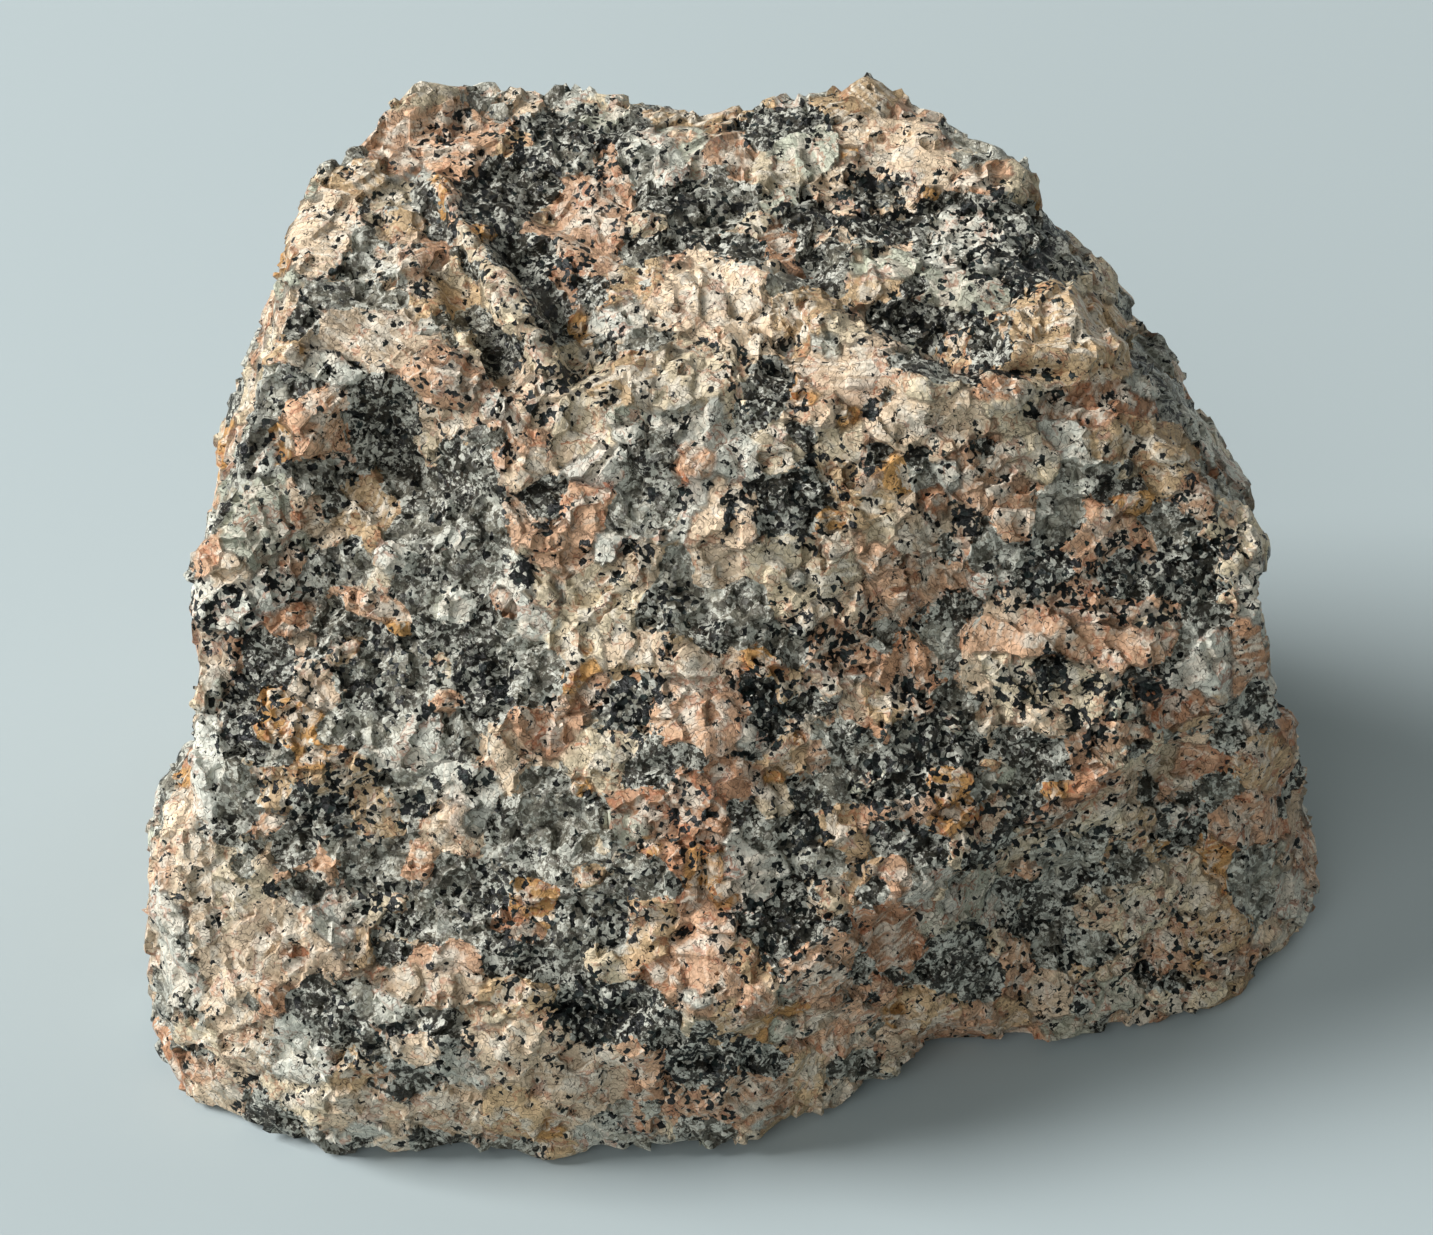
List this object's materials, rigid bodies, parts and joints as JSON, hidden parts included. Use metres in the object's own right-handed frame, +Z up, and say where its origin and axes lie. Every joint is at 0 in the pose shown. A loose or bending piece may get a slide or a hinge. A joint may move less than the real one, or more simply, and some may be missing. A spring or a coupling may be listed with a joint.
{
  "type": "granite specimen",
  "caption": "Hand specimen of coarse pink granite: a rough wedge with hackly broken faces, a scooped front and a saddled top, standing on small flat spots.",
  "frame": {"origin": "floor level under the middle of the stone's box", "axes": "+Z up from the surface that the stone is on, +X to the right along its width, -Y towards the viewer, so that the sloping front face looks to -Y and upwards"},
  "size_m": [0.1326, 0.1004, 0.0819],
  "materials": {
    "broken_granite": "coarse pink granite, freshly broken and unpolished: salmon and cream feldspar, smoky quartz with a glassy glint, black mica flecks, white crush marks and a little rust staining"
  },
  "bodies": {
    "root": {"granite": "broken_granite"}
  },
  "joints": []
}
